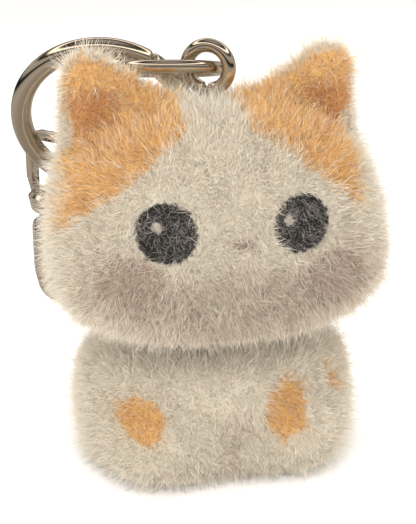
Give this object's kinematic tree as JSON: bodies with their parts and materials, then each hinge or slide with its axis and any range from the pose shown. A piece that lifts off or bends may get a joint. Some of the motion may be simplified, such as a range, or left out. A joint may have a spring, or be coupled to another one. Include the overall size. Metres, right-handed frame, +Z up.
{
  "type": "plush keychain",
  "caption": "Small flocked sitting cat figure with a turning head, hung by a screw eye, a link and a split key ring that carries a swivel clasp with a spring trigger.",
  "frame": {"origin": "centre of the flat underside that the figure stands on", "axes": "+Z up, the face looks along -Y, +X to the right of someone facing it"},
  "size_m": [0.0378, 0.0345, 0.0458],
  "materials": {
    "flocked_vinyl": "moulded vinyl under short white and orange flock",
    "plastic": "plain moulded plastic",
    "nickel": "bright nickel plate",
    "spring_steel": "drawn spring wire"
  },
  "bodies": {
    "body": {"body_shell": "flocked_vinyl", "base_plug": "plastic", "neck_plug": "plastic"},
    "head": {"head_shell": "flocked_vinyl", "screw_eye": "nickel", "eye_anchor": "plastic"},
    "link": {"chain_link": "nickel"},
    "ring": {"key_ring": "nickel"},
    "clasp_loop": {"clasp_eye": "nickel"},
    "clasp": {"clasp_hook": "nickel", "swivel_rivet": "nickel", "trigger_pin": "nickel", "trigger_spring": "spring_steel"},
    "trigger": {"trigger_lever": "nickel"}
  },
  "joints": [
    {"name": "neck_turn", "type": "hinge", "parent": "body", "child": "head", "pos_m": [0, 0, 0.0173], "axis": [0, 0, 1], "continuous": true},
    {"name": "link_swing", "type": "hinge", "parent": "head", "child": "link", "pos_m": [0, 0.0024, 0.04273], "axis": [0.4226, 0.9063, 0], "range_deg": [0, 150]},
    {"name": "key_ring_swing", "type": "hinge", "parent": "link", "child": "ring", "pos_m": [-0.00748, 0.01042, 0.04113], "axis": [0.7192, 0.6642, -0.204], "range_deg": [0, 40]},
    {"name": "clasp_swing", "type": "hinge", "parent": "ring", "child": "clasp_loop", "pos_m": [-0.01525, 0.01749, 0.02873], "axis": [0.7817, 0.0823, -0.6182], "range_deg": [0, 40]},
    {"name": "clasp_swivel", "type": "hinge", "parent": "clasp_loop", "child": "clasp", "pos_m": [-0.01525, 0.01749, 0.02335], "axis": [0, 0, 1], "continuous": true},
    {"name": "trigger_press", "type": "hinge", "parent": "clasp", "child": "trigger", "pos_m": [-0.0108, 0.01749, 0.021], "axis": [0, 1, 0], "range_deg": [0, 22], "stiffness_Nm_per_rad": 0.004, "springref_deg": -17.19}
  ]
}
